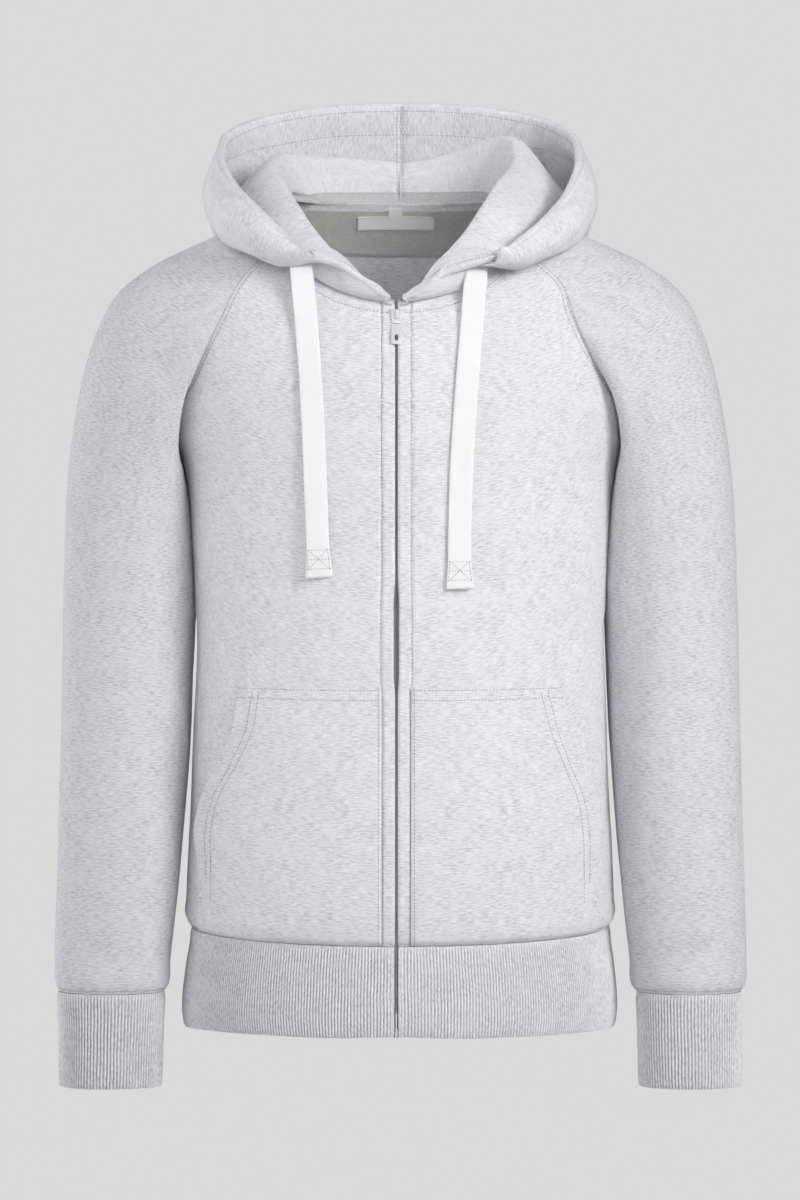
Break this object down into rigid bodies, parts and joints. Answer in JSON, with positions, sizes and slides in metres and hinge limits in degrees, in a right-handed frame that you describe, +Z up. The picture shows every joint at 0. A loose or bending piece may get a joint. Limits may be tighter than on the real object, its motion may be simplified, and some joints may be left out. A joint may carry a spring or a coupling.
{
  "type": "zip up hoodie",
  "caption": "Raglan zip hoodie in light melange fleece, worn form with no wearer, hood thrown back, flat drawcords, ribbed hem and cuffs.",
  "frame": {"origin": "where the wearer's shoulders and neck carry the garment, level with the neckline at the side of the neck", "axes": "+Z up, -Y to the wearer's front, +X to the right of the picture"},
  "size_m": [0.5842, 0.271, 0.8399],
  "materials": {
    "fleece": "brushed light grey melange fleece",
    "rib": "ribbed grey melange knit",
    "neck_facing": "plain off-white knit",
    "cotton": "white cotton",
    "zip_tape": "woven grey zip tape with a coil",
    "zip_metal": "pale enamelled zip slider"
  },
  "bodies": {
    "garment": {"front_left": "fleece", "front_right": "fleece", "back": "fleece", "sleeve_left": "fleece", "sleeve_right": "fleece", "hem_rib": "rib", "cuff_left": "rib", "cuff_right": "rib", "hood_lining_left": "fleece", "hood_outer_left": "fleece", "hood_lining_right": "fleece", "hood_outer_right": "fleece", "pocket_left": "fleece", "pocket_right": "fleece", "zip_tape_left": "zip_tape", "zip_tape_right": "zip_tape", "zip_slider": "zip_metal", "zip_retainer": "zip_metal", "drawcord_left": "cotton", "drawcord_right": "cotton", "neck_tape": "cotton", "neck_yoke": "neck_facing", "label_main": "cotton", "label_size": "cotton"},
    "zip_pull": {"zip_pull": "zip_metal"}
  },
  "joints": [
    {"name": "pull_tab", "type": "hinge", "parent": "garment", "child": "zip_pull", "pos_m": [-0.003, -0.1075, -0.1135], "axis": [-1, 0, 0], "range_deg": [0, 140]}
  ]
}
